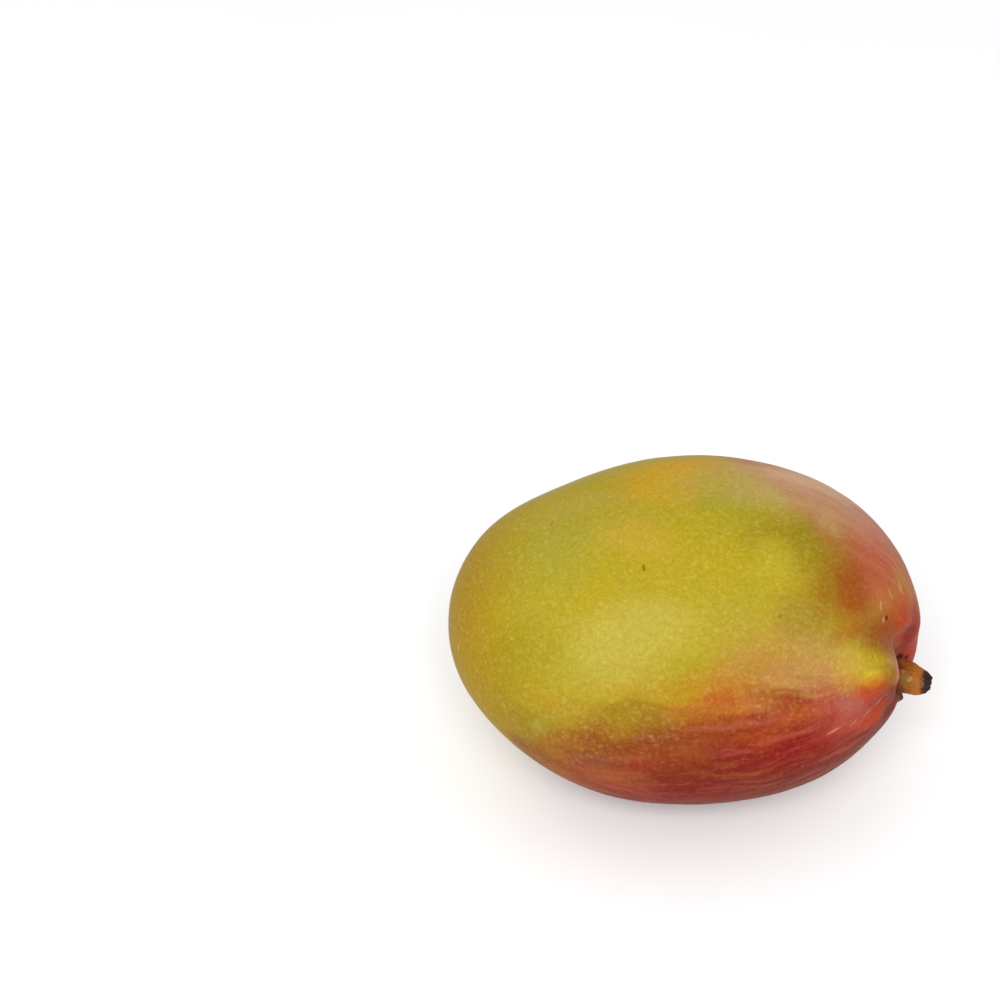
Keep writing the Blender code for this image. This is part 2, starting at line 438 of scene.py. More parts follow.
def eased(value, known, told):
    """Smooth values between the known ones: Catmull-Rom, by numpy's own slopes."""
    known, told = np.array(known), np.array(told)
    slopes = np.gradient(told, known)
    k = np.clip(np.searchsorted(known, value) - 1, 0, len(known) - 2)
    width = known[k + 1] - known[k]
    s = (value - known[k]) / width
    rise = told[k] * (1 - s) ** 2 * (1 + 2 * s) + told[k + 1] * s**2 * (3 - 2 * s)
    return rise + width * (slopes[k] * s * (1 - s) ** 2 - slopes[k + 1] * s**2 * (1 - s))


STALK_HEIGHTS, STALK_RADII, STALK_LEANS = zip(*STALK_PROFILE)
STALK_TOP = STALK_HEIGHTS[-1]
print("radius halfway up, mm:", round(float(eased(STALK_TOP / 2, STALK_HEIGHTS, STALK_RADII)), 2))

# %% [markdown]
# ## Wood grain and a broken end
#
# Dry wood shrinks unevenly: it gets wrinkles along the stalk, finer grain and slow lumps. Each is
# noise on a cylinder, stretched by its own amount. The end was torn, so two sizes of noise push it
# up and down there. It shows at the outline, so this is real relief too.

# %% Rings of the stalk
STALK_SIDES, STALK_LOBES, STALK_LOBE_SHARE = 120, 5, 0.045
# height in mm, fineness, turns round the stalk, steps along it, shift
STALK_GRAIN = ((0.20, 3, 2.2, 0.10, 0), (0.10, 2, 5.0, 0.9, 0), (0.30, 1, 1.1, 0.35, 7))
# height in mm, fineness, layer of the noise
TORN_END = ((0.60, 0.9, 3.0), (0.30, 2.6, 8.0))
TEAR_START = 10.0


def stalk_grain(level, angle):
    around = math.cos(angle), math.sin(angle)
    return sum(
        tall * noise.noise(fine * Vector((turns * around[0], turns * around[1], step * level + at)))
        for tall, fine, turns, step, at in STALK_GRAIN
    )


def stalk_ring(level, shrink=1.0, dip=0.0):
    radius = eased(level, STALK_HEIGHTS, STALK_RADII)
    lean = eased(level, STALK_HEIGHTS, STALK_LEANS)
    ring = []
    for side in range(STALK_SIDES):
        angle = 2 * math.pi * side / STALK_SIDES
        lobed = radius * (1 + STALK_LOBE_SHARE * math.cos(STALK_LOBES * angle))
        wide = (lobed + stalk_grain(level, angle)) * shrink
        x, y = wide * math.cos(angle), wide * math.sin(angle)
        torn = sum(
            tall * noise.noise(Vector((x, y, layer)) * fine) for tall, fine, layer in TORN_END
        )
        rise = torn * smoothstep(TEAR_START, STALK_TOP, level)
        ring.append((x, y + lean, level + rise - dip))
    return ring


print("points in a ring:", len(stalk_ring(0.0)))

# %% [markdown]
# ## The stalk, from foot to pith
#
# Rings up the side make the stub. Smaller and smaller rings close its end: first over a rounded
# rim and then down to the pith, which has dried and sunk.

# %% The stalk
STALK_LEVELS, END_LEVELS = 90, 18
RIM_ROUNDING, PITH_DEPTH = 0.35, 0.75
PITH_EDGE, PITH_FLOOR = 0.35, 0.9
stalk_rings = [stalk_ring(level) for level in np.linspace(0, STALK_TOP, STALK_LEVELS)]
for share in np.linspace(0, 1, END_LEVELS)[1:-1]:
    round_over = RIM_ROUNDING * math.sin(math.pi / 2 * min(1, share * 3))
    dip = PITH_DEPTH * smoothstep(PITH_EDGE, PITH_FLOOR, share) - round_over
    stalk_rings.append(stalk_ring(STALK_TOP, shrink=1 - share, dip=dip))
stalk_rings = np.array(stalk_rings) * MM
stalk = closed_rings("mango_stalk", stalk_rings, stalk_rings[0].mean(0), stalk_rings[-1].mean(0))
print("stalk faces:", len(stalk.data.polygons))

# %% [markdown]
# ## Stand the stalk in the hollow
#
# A matrix made of the three directions turns the stalk the right way, and its foot goes a little
# below the bottom of the hollow, so that the skin closes round it.

# %% Place the stalk
STALK_SINK = 1.8
stalk_bottom = middle + foot + (stalk_end_relief(foot) - STALK_SINK * MM) * out
axes = Matrix((ridge, low, out)).transposed()
stalk.matrix_world = Matrix.Translation(Vector(stalk_bottom)) @ axes.to_4x4()
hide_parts("stalk")
print("stalk's foot, mm:", np.round(stalk_bottom / MM, 1))

# %% [markdown]
# ## A recipe book for materials
#
# A material is a web of nodes, and code that makes one can get long. `Recipe` keeps it readable.
# `add` puts down one node, feeds its sockets with numbers or with other nodes' outputs, and hands
# back its output. The other calls are the few moves that every recipe here repeats: `fade` is a
# soft edge, `glaze` lays one colour over another, `pushed` makes straight things wander, and
# `lay_patches` paints a whole table of soft patches. `paint` turns a colour as a screen shows it
# into the even scale of brightness that Blender calculates with.

# %% Recipes


def paint(red, green, blue):
    def even(part):
        part /= 255
        return part / 12.92 if part <= 0.04045 else ((part + 0.055) / 1.055) ** 2.4

    return (*(even(part) for part in (red, green, blue)), 1)


class Recipe:
    def __init__(self, name):
        self.material = bpy.data.materials.new(name)
        self.material.use_nodes = True
        self.tree = self.material.node_tree
        self.shader = self.tree.nodes["Principled BSDF"]

    def pour(self, feed, socket):
        if isinstance(feed, bpy.types.NodeSocket):
            self.tree.links.new(feed, socket)
        else:
            socket.default_value = feed

    def add(self, kind, feeds, out=0, **settings):
        node = self.tree.nodes.new("ShaderNode" + kind)
        for name, value in settings.items():
            setattr(node, name, value)
        for place, feed in feeds.items():
            self.pour(feed, node.inputs[place])
        return node.outputs[out]

    def sum(self, first, second):
        return self.add("Math", {0: first, 1: second}, operation="ADD")

    def times(self, first, second):
        return self.add("Math", {0: first, 1: second}, operation="MULTIPLY")

    def shift(self, place, offset):
        return self.add("VectorMath", {0: place, 1: offset}, operation="ADD")

    def stretch(self, place, factors):
        return self.add("VectorMath", {0: place, 1: factors}, operation="MULTIPLY")

    def scaled(self, direction, factor):
        return self.add("VectorMath", {0: direction, 3: factor}, operation="SCALE")

    def along(self, place, direction):
        feeds = {0: place, 1: tuple(direction)}
        return self.add("VectorMath", feeds, out=1, operation="DOT_PRODUCT")

    def length(self, offset):
        return self.add("VectorMath", {0: offset}, out=1, operation="LENGTH")

    def place_in_mm(self):
        where = self.add("TexCoord", {}, out="Object")
        return self.stretch(where, (1000, 1000, 1000))

    def fade(self, value, none, full):
        feeds = {"Value": value, "From Min": none, "From Max": full}
        return self.add("MapRange", feeds, interpolation_type="SMOOTHSTEP")

    def glaze(self, under, over, mask):
        feeds = {0: mask, 6: under, 7: over}
        return self.add("Mix", feeds, out=2, data_type="RGBA")

    def cloud(self, place, size, detail=2.0, out=0):
        feeds = {"Vector": place, "Scale": 1 / size, "Detail": detail}
        return self.add("TexNoise", feeds, out=out)

    def pushed(self, place, size, far, detail=2.0):
        centred = self.shift(self.cloud(place, size, detail, out=1), (-0.5, -0.5, -0.5))
        return self.shift(place, self.stretch(centred, (far, far, far)))

    def patch(self, place, centre, reach, edge):
        offset = self.shift(place, tuple(-part for part in centre))
        share = self.stretch(offset, tuple(1 / part for part in reach))
        return self.fade(self.length(share), 1.0, edge)

    def lay_patches(self, colour, place, patches, edge):
        for name, shade, centre, reach, strength in patches:
            mask = self.times(self.patch(place, centre, reach, edge), strength)
            colour = self.glaze(colour, paint(*shade), mask)
        return colour


print("a pale yellow:", [round(part, 3) for part in paint(225, 210, 120)])

# %% [markdown]
# ## Measure the skin in millimetres
#
# The colours of a mango follow the fruit, so every mask below asks where on the fruit a point is.
# An image wrapped round it would need an unwrapping and a seam. The object's own coordinates need
# neither: they start at its middle, and times 1000 they are millimetres. A cloud texture pushes
# them about by some millimetres, which makes the edges of every patch wander as they do on real
# skin. A second, finer push makes them ragged.

# %% Start the skin
skin = Recipe("mango_skin")
place = skin.place_in_mm()
wander = skin.pushed(place, size=20.0, far=8.0)
ragged = skin.pushed(wander, size=5.0, far=4.0, detail=3.0)
print("skin nodes so far:", len(skin.tree.nodes))

# %% [markdown]
# ## Streaks that run from the stalk to the blossom end
#
# The red of a mango is drawn in streaks, and they all run from one end of the fruit to the other.
# A texture stretched along one axis would smear at the ends. So we split a point into its place
# along the fruit and its direction away from the core, as a map does with latitude and longitude.
# The direction keeps its full size and the place along the fruit is shrunk, which draws the
# clouds out lengthwise and lets them run together at both ends.

# %% Streaks
GROWTH = unit(np.array(STALK_SEAT) - BLOSSOM_END)
GIRTH_MM = 44.0


def lengthwise(recipe, place, shrink):
    """Coordinates in which a cloud becomes a streak along the fruit."""
    along = recipe.along(place, GROWTH)
    core = recipe.scaled(tuple(GROWTH), along)
    outward = recipe.add("VectorMath", {0: place, 1: core}, operation="SUBTRACT")
    outward = recipe.add("VectorMath", {0: outward}, operation="NORMALIZE")
    outward = recipe.stretch(outward, (GIRTH_MM, GIRTH_MM, GIRTH_MM))
    return recipe.shift(outward, recipe.scaled(tuple(GROWTH), recipe.times(along, shrink)))


def streaks(recipe, place, shrink, size, detail):
    """A cloud drawn out along the fruit, from -0.5 to 0.5."""
    return recipe.sum(recipe.cloud(lengthwise(recipe, place, shrink), size, detail), -0.5)


fine_streaks = streaks(skin, wander, shrink=0.11, size=2.0, detail=4.0)
broad_streaks = streaks(skin, wander, shrink=0.25, size=7.0, detail=3.0)
print("growth direction:", np.round(GROWTH, 3))

# %% [markdown]
# ## The ground colour
#
# Under the blush a ripe mango is yellow with green left in it. Slow clouds mix three such colours.
# These are the colours of the paint, without light on it, so they are darker than they will look.

# %% Yellow, gold and green
YELLOW, DULL_GREEN, PALE_GOLD = paint(157, 138, 24), paint(151, 136, 35), paint(156, 138, 37)
GREEN_CLOUD_MM, GOLD_CLOUD_MM = 26.0, 18.0
green_cloud = skin.fade(skin.cloud(place, GREEN_CLOUD_MM, 3.0), 0.40, 0.66)
elsewhere = skin.shift(place, (40, 0, 0))
gold_cloud = skin.fade(skin.cloud(elsewhere, GOLD_CLOUD_MM, 3.0), 0.45, 0.70)
ground = skin.glaze(YELLOW, DULL_GREEN, green_cloud)
ground = skin.glaze(ground, PALE_GOLD, skin.times(gold_cloud, 0.6))
print("ground mixed")

# %% [markdown]
# ## Soft patches of colour
#
# These are the places that make this mango this one: where it stayed green, where it went amber,
# where light has faded it. The paler patch in the middle, where the skin faces the key light, is a
# painted highlight. Places are measured from the fruit's middle.

# %% Patches of the pale side
# name, colour, middle in mm, reach in mm, strength
PALE_SIDE = (
    # Painted highlight: the middle, which faces the key light, is painted paler than the yellow
    # round it.
    ("painted highlight in the middle", (166, 152, 65), (-13.7, -36.4, 26.5), (24.5, 15.3, 17.1), 0.61),
    ("olive flank", (141, 125, 19), (-43.3, -27.7, 5.6), (30, 11.4, 25.2), 0.93),
    ("amber blossom end", (150, 116, 18), (-55.5, 3.3, -0.2), (32.2, 48.4, 43), 0.93),
    ("gold crown", (170, 141, 43), (-22.4, -18.5, 41.6), (24.2, 21.2, 4.7), 0.93),
    ("grey-green hip", (145, 138, 48), (-31.7, -6.8, 29.7), (13.6, 22.4, 16.3), 0.57),
    ("olive crown edge", (164, 139, 65), (-26.7, 4.3, 36.2), (30.9, 7.1, 15), 0.34),
    ("amber crown", (187, 140, 18), (1.2, 10.1, 37.4), (27.4, 19.4, 11.1), 0.93),
    ("green crown", (145, 134, 18), (11.4, -2.3, 46.2), (14, 9.4, 11.5), 0.93),
    ("dull crown back", (159, 141, 69), (17.4, 7, 42.5), (30.9, 15.9, 9.5), 0.65),
    ("leaf green", (130, 111, 18), (26.8, -10.5, 34.5), (26.2, 16.3, 12.4), 0.93),
    ("gold by the leaf green", (169, 152, 36), (19.4, -18.9, 39.6), (6.9, 9.7, 9.2), 0.49),
    ("olive above the ridge", (140, 115, 35), (24.8, -29.9, 26.4), (15.4, 10.6, 10.3), 0.93),
    ("gold flank", (148, 132, 18), (3, -42.8, 22.2), (23, 16.5, 14.2), 0.68),
    ("faded tan", (169, 131, 78), (26.1, -34.5, 15.1), (20.7, 14.5, 14.1), 0.93),
    ("touch of pink", (173, 83, 76), (12.3, -36.5, 20.7), (16.5, 18.5, 13.2), 0.34),
    ("green low flank", (130, 122, 18), (-38.9, -40.6, -1.2), (17.8, 14.1, 9.7), 0.93),
)
colour = skin.lay_patches(ground, wander, PALE_SIDE, edge=0.35)
print("patches laid:", len(PALE_SIDE))

# %% [markdown]
# ## The blush, as the tide comes in
#
# The red grows over a mango from one side, as a tide over a beach: first an olive stain, then
# orange, rust, brick and a deep, bluish red. One gradient could do it, but then every colour would
# keep the same distance from the next. So each has a front of its own, which is a plane through
# the fruit: the side that the colour comes from, and how far from the middle it has got. The
# streaks push all the fronts back and forth.

# %% Blush of the lower side
# name, colour, side it comes from, front in mm, softness in mm, strength
LOWER_BLUSH = (
    ("olive stain", (142, 94, 28), (0.14, -0.75, -0.65), 15.5, 5.1, 0.36),
    ("orange", (166, 86, 34), (0.32, -0.56, -0.77), 27.9, 3.9, 0.93),
    ("rust", (134, 62, 24), (0.14, -0.77, -0.62), 26.5, 2.6, 0.62),
    ("brick", (124, 38, 24), (0.30, -0.67, -0.69), 25.1, 4.3, 0.89),
    ("deep red", (100, 28, 22), (0.38, -0.37, -0.85), 18.1, 3.2, 0.93),
)


def beyond_front(side, front, fine=0.0, broad=0.0):
    """How many millimetres a point lies beyond a front, once the streaks have pushed it."""
    beyond = skin.sum(skin.along(wander, unit(side)), -front)
    beyond = skin.sum(beyond, skin.times(fine_streaks, fine))
    return skin.sum(beyond, skin.times(broad_streaks, broad))


def lay_blush(colour, fronts, fine, broad, region=1.0):
    for name, shade, side, front, soft, strength in fronts:
        beyond = beyond_front(side, front, fine, broad)
        mask = skin.times(skin.fade(beyond, -soft, soft), skin.times(region, strength))
        colour = skin.glaze(colour, paint(*shade), mask)
    return colour


colour = lay_blush(colour, LOWER_BLUSH, fine=10.0, broad=9.0)
print("lower blush laid:", len(LOWER_BLUSH))

# %% [markdown]
# ## A second blush on the back shoulder
#
# This mango has coloured from two sides. The shoulder behind the stalk is pink over dull orange,
# and its edge is softer, so the streaks push it less. Where the red of the lower side lies already,
# the shoulder's colours are held back.

# %% Blush of the back shoulder
SHOULDER_BLUSH = (
    ("tan stain", (168, 132, 48), (0.55, 0.82, -0.16), 14.6, 4.6, 0.46),
    ("dull orange", (160, 98, 42), (0.71, 0.70, 0.05), 25.9, 4.5, 0.25),
    ("salmon", (156, 78, 50), (0.84, 0.42, 0.35), 35.9, 4.0, 0.54),
    ("pink", (150, 64, 54), (0.74, 0.55, 0.39), 48.7, 6.2, 0.72),
)
RED_SIDE_WAY, RED_SIDE_FRONT = (0.24, -0.56, -0.79), 22.5
into_red = beyond_front(RED_SIDE_WAY, RED_SIDE_FRONT)
in_red = skin.fade(into_red, -4.0, 6.0)
clear_of_red = skin.sum(1.0, skin.times(in_red, -0.75))
colour = lay_blush(colour, SHOULDER_BLUSH, fine=5.0, broad=7.0, region=clear_of_red)
print("shoulder blush laid:", len(SHOULDER_BLUSH))

# %% [markdown]
# ## Single streaks where the blush begins
#
# Clouds alone give an even edge of streaks. On the real fruit some stand out: brown ones that reach
# far into the yellow, a yellow gap, a red tongue. Those are laid one by one, as long thin patches.

# %% Single streaks
EDGE_STREAKS = (
    ("brown streak", (129, 99, 18), (-18.8, -46.6, 11.3), (14.4, 9.1, 6.7), 0.93),
    ("long brown streak", (115, 54, 18), (-15.4, -47.6, 5.4), (28.4, 8.6, 8.6), 0.93),
    ("yellow gap", (159, 136, 18), (-16.9, -46.2, 8.5), (12.8, 5.7, 6.7), 0.35),
    ("red tongue", (147, 39, 24), (6.1, -45.8, 17.3), (7.4, 3.9, 5.7), 0.56),
    ("rusty streak", (126, 55, 18), (4.7, -49.2, 8.4), (14.2, 7.5, 4.5), 0.93),
    ("brown streak at the fold", (132, 75, 18), (16.7, -43.7, 17.2), (9.8, 2.5, 4.7), 0.85),
    ("salmon haze", (170, 106, 54), (16.4, -46.1, 13.2), (14.2, 4.2, 2.5), 0.52),
    ("orange tongue", (168, 81, 18), (23, -45.5, 5.5), (17, 9.9, 4.3), 0.84),
    ("crimson core", (152, 18, 18), (30, -41.6, 0.9), (11.9, 6.7, 3.4), 0.56),
    ("brown haze", (142, 82, 18), (-1.2, -46.8, 1.8), (5.9, 6.2, 6.4), 0.26),
    ("dark brick", (110, 43, 18), (-4, -49.2, -5.8), (13, 8.5, 7.9), 0.77),
    ("brown low streak", (105, 52, 18), (-25.2, -46.7, -4.2), (11.7, 9.2, 6.1), 0.93),
    ("pale low flank", (149, 142, 53), (-36.6, -39.9, 0), (8.1, 3.2, 6.8), 0.42),
    ("low salmon haze", (157, 91, 50), (-18.5, -46.1, -12), (13.7, 12.3, 9), 0.93),
)
colour = skin.lay_patches(colour, ragged, EDGE_STREAKS, edge=0.25)
print("single streaks:", len(EDGE_STREAKS))

# %% [markdown]
# ## Patches within the red
#
# Inside the blush there are places again: crimson low down near the stalk, pink beside the groove,
# a rusty band, a red-orange shoulder, and salmon on the crown, painted paler towards its edge as a
# painted sheen of the light behind. They are laid like the pale side's patches, but in the ragged
# coordinates, which give them rougher edges.

# %% Patches of the red side
RED_SIDE = (
    ("rusty flank", (143, 74, 31), (-29.5, -41.4, -17.6), (25.5, 22.2, 8.5), 0.68),
    ("brown flank", (120, 67, 18), (-41.3, -35.9, -11.4), (11.5, 13.2, 9.1), 0.77),
    ("orange streak", (168, 96, 18), (4.8, -48.1, 17.1), (18.7, 13.7, 10.8), 0.34),
    ("light orange", (181, 103, 32), (23.8, -38.6, 8.5), (13.9, 12.3, 5.6), 0.93),
    ("brick belly", (113, 18, 18), (-7.9, -46.3, -17), (34.8, 14.4, 16.1), 0.72),
    ("crimson", (121, 18, 18), (28.1, -40.5, 1), (40.6, 21.7, 15.8), 0.93),
    ("dusky pink edge", (118, 40, 36), (19, -35.8, -27.4), (36, 13.9, 9.7), 0.60),
    ("orange by the stalk", (158, 50, 18), (44.6, -30.1, -1.6), (12.7, 9.7, 5.3), 0.93),
    ("pink by the groove", (171, 82, 67), (35.1, -35.6, 7.7), (20, 9.1, 16.9), 0.66),
    ("brown band", (133, 90, 18), (33.7, -20.5, 31), (15.3, 12.7, 9.3), 0.93),
    ("rust core", (136, 58, 20), (40, -17.7, 29.1), (7.2, 16.7, 9.6), 0.80),
    ("pink shoulder", (162, 67, 57), (46.6, -5.1, 28.6), (9.7, 25.1, 17.5), 0.70),
    # Painted sheen: the salmon of the crown is painted paler, as the shine of light at its edge.
    ("paler salmon on the crown, painted sheen", (181, 139, 115), (27.9, 8.9, 29.7), (37, 22, 21), 0.70),
    ("beige spot", (171, 137, 88), (36.6, -3.4, 41), (7.3, 9.5, 7.4), 0.63),
    # Painted sheen: the palest salmon, at the crown's edge.
    ("painted sheen on the crown's edge", (188, 151, 116), (32.8, 18.1, 35.5), (26.4, 12.4, 13.7), 0.93),
    ("red-orange shoulder", (158, 42, 20), (55.3, -18.7, 13.5), (18.5, 15.5, 14.6), 0.93),
    ("rust above the ridge", (145, 71, 19), (36.2, -28.2, 24.3), (10.3, 7.3, 3.6), 0.65),
    ("deep red by the hollow", (131, 18, 18), (59.9, -11.3, 5.5), (5.6, 10.8, 14), 0.93),
)
colour = skin.lay_patches(colour, ragged, RED_SIDE, edge=0.25)
print("patches laid:", len(RED_SIDE))

# %% [markdown]
# ## Light and dark streaks in the red
#
# The red isn't even either. Streaks of three sizes lighten and darken it, and they reach a little
# into the yellow as a stain. Each row lays one colour where one of the clouds is high, or low, and
# only within its region. Lengthwise streaks meet at the end of the fruit, as the meridians of a
# globe do at the pole. A real mango doesn't show that, so ours fade out before they get there.

# %% Streaks in the red
in_stain = skin.fade(into_red, -18.0, 0.0)
in_pink = skin.fade(beyond_front((0.76, 0.58, 0.25), 32.8), -6.0, 8.0)
middle_streaks = streaks(skin, wander, shrink=0.20, size=3.2, detail=4.0)
streak_grain = streaks(skin, place, shrink=0.40, size=1.5, detail=3.0)
# name, colour, cloud, its value for none, its value for all, region, strength
STREAKS = (
    ("pink streak", (186, 104, 84), middle_streaks, 0.00, 0.24, in_stain, 0.24),
    ("gold streak", (168, 116, 34), middle_streaks, -0.02, -0.26, in_stain, 0.18),
    ("light streak", (178, 96, 62), fine_streaks, 0.00, 0.30, in_red, 0.20),
    ("dark streak", (92, 26, 14), fine_streaks, 0.00, -0.30, in_red, 0.20),
    ("shoulder streak", (196, 138, 116), middle_streaks, 0.00, 0.24, in_pink, 0.26),
    ("dark shoulder streak", (128, 56, 34), middle_streaks, 0.00, -0.24, in_pink, 0.22),
    ("red grain", (190, 116, 80), streak_grain, 0.00, 0.30, in_red, 0.10),
)
POLE_CLEAR, POLE_FADE = 5.0, 28.0
from_pole = skin.shift(place, tuple(-GROWTH * LENGTH / 2 / MM))
away_from_pole = skin.fade(skin.length(from_pole), POLE_CLEAR, POLE_FADE)
for name, shade, cloud, none, full, region, strength in STREAKS:
    region = skin.times(region, away_from_pole)
    mask = skin.times(skin.fade(cloud, none, full), skin.times(region, strength))
    colour = skin.glaze(colour, paint(*shade), mask)
print("streaks laid:", len(STREAKS))

# %% [markdown]
# ## Colours round the stalk
#
# Here we paint by the stalk's own directions, in the same u and v as the relief, with w along the
# stalk. The ridge is clear yellow on top, with a painted highlight on its tip, and a band of
# orange-red along its lower flank. A pale painted highlight runs along its rim, the groove above
# it is brown and painted darker as painted shade, and the far wall is red. The skin round the foot
# of the stalk is brown and torn, and deep in the hollow it is painted darker as painted shade.
# The cork and the two pits get their dark colours in the same places as their relief.

# %% The ridge and the hollow
torn_place = skin.pushed(place, size=3.5, far=1.4, detail=3.0)
near_foot = skin.shift(torn_place, tuple(-foot / MM))
u = skin.along(near_foot, ridge)
v = skin.along(near_foot, low)
w = skin.along(near_foot, out)
stalk_place = skin.add("CombineXYZ", {0: u, 1: v, 2: w})
STALK_END = (
    ("pale wall above", (158, 122, 94), (14.8, -4.4, -3.4), (9.3, 4.5, 9.9), 0.93),
    # Painted shade: the groove above the ridge is brown, painted darker where it lies in shade.
    ("brown groove with painted shade", (127, 62, 18), (19.3, -7.3, -6.8), (18.9, 10.2, 8.9), 0.85),
    ("yellow ridge", (181, 174, 18), (23.1, 1.3, -10.1), (13.8, 8.8, 18.1), 0.38),
    # Painted highlight: the ridge's tip is painted brighter than the yellow round it.
    ("ridge tip with painted highlight", (181, 172, 34), (22, 2.9, -7.8), (5.4, 3.5, 7.2), 0.93),
    ("orange-red flank", (164, 19, 18), (20.5, 5.2, -6.2), (7.7, 5.6, 13.9), 0.69),
    ("pink groove", (152, 82, 68), (23.3, 10.1, -10.7), (8.6, 3.3, 9), 0.88),
    # Painted highlight: the pale line along the rim of the ridge.
    ("painted highlight on the rim", (180, 130, 95), (12, 0, -0.6), (6, 7, 2.2), 0.80),
    # Painted shade: deep in the hollow and round the stalk's foot the skin is painted darker, over
    # its brown and crust.
    ("brown skin and painted shade in the hollow", (100, 45, 22), (0, 0, -6), (7.5, 6.5, 6), 0.85),
    ("crust and painted shade at the stalk's foot", (50, 22, 12), (0, 0, -7), (6.2, 6, 5), 0.85),
    ("red far wall", (146, 54, 46), (-8.4, -7, -1.3), (6, 6, 4.5), 0.80),
    ("cork below", (66, 46, 36), (-5, 4.9, -2.8), (7.5, 2.6, 4), 0.88),
    ("crust on the rim", (92, 48, 26), (8.6, 5.2, -2.6), (3.4, 1.6, 3), 0.62),
    ("pit above", (46, 18, 14), (-5.2, -5.3, -4), (1.3, 1.1, 5), 0.90),
    ("second pit", (50, 20, 16), (-7.4, -5.4, -4), (1.3, 1.1, 5), 0.90),
)
colour = skin.lay_patches(colour, stalk_place, STALK_END, edge=0.3)
print("stalk end patches:", len(STALK_END))

# %% [markdown]
# ## Pale dots
#
# A mango breathes through small pores that show as pale dots, about two millimetres apart. A
# Voronoi texture gives each cell of space a point. The skin cuts those cells at all depths, so the
# dots come out in uneven sizes, as the real ones are. They show a little on yellow, in some places
# more than in others, and hardly on red or on the brown shoulder.

# %% Pale dots
DOT_SPACING_MM = 1.9
DOT_PAINT = paint(212, 200, 116)
DOT_LEAST, DOT_MORE = 0.04, 0.07
dot_place = skin.pushed(place, size=1.2, far=0.6)
dots = skin.add("TexVoronoi", {"Vector": dot_place, "Scale": 1 / DOT_SPACING_MM}, out="Distance")
dot_mask = skin.fade(dots, 0.52, 0.06)
not_red = skin.sum(1.0, skin.times(skin.sum(in_red, in_pink), -0.7))
on_brown = skin.patch(wander, (42.0, -17.0, 26.0), (22.0, 19.0, 17.0), edge=0.35)
not_red = skin.times(not_red, skin.sum(1.0, skin.times(on_brown, -0.6)))
patchy = skin.fade(skin.cloud(place, 9.0), 0.30, 0.65)
dot_show = skin.times(not_red, skin.sum(skin.times(patchy, DOT_MORE), DOT_LEAST))
colour = skin.glaze(colour, DOT_PAINT, skin.times(dot_mask, dot_show))
print("dots about", DOT_SPACING_MM, "mm apart")

# %% [markdown]
# ## Fine mottle
#
# Between the dots the colour flickers on a scale of a millimetre: a little darker here, a little
# lighter there. Laying a second colour would shift the hue, so the skin's own colour is multiplied
# by a cloud instead. It is weak, but without it the skin looks like painted plastic.

# %% Fine mottle
SPECKLE_PAINT, SPECKLE_STRENGTH = paint(222, 200, 140), 0.06
MOTTLE_SHARE, SPECKLE_SHARE, DARKEST = 0.34, 0.22, 0.72
mottle = skin.cloud(place, 1.1, 3.0)
speckle = skin.cloud(skin.shift(place, (0, 60, 0)), 0.7, 2.0)
light_speckle = skin.times(skin.fade(speckle, 0.40, 0.80), SPECKLE_STRENGTH)
colour = skin.glaze(colour, SPECKLE_PAINT, skin.times(light_speckle, not_red))
flicker = skin.sum(skin.times(mottle, MOTTLE_SHARE), skin.times(speckle, SPECKLE_SHARE))
colour = skin.scaled(colour, skin.sum(flicker, DARKEST))
print("mottle laid")

# %% [markdown]
# ## Scratches and specks
#
# Every fruit that has been picked and packed has marks. Each is a small, thin ellipse that runs its
# own way. A last, small push keeps their edges from being perfect. This is the last layer, so the
# colour goes to the shader after it.

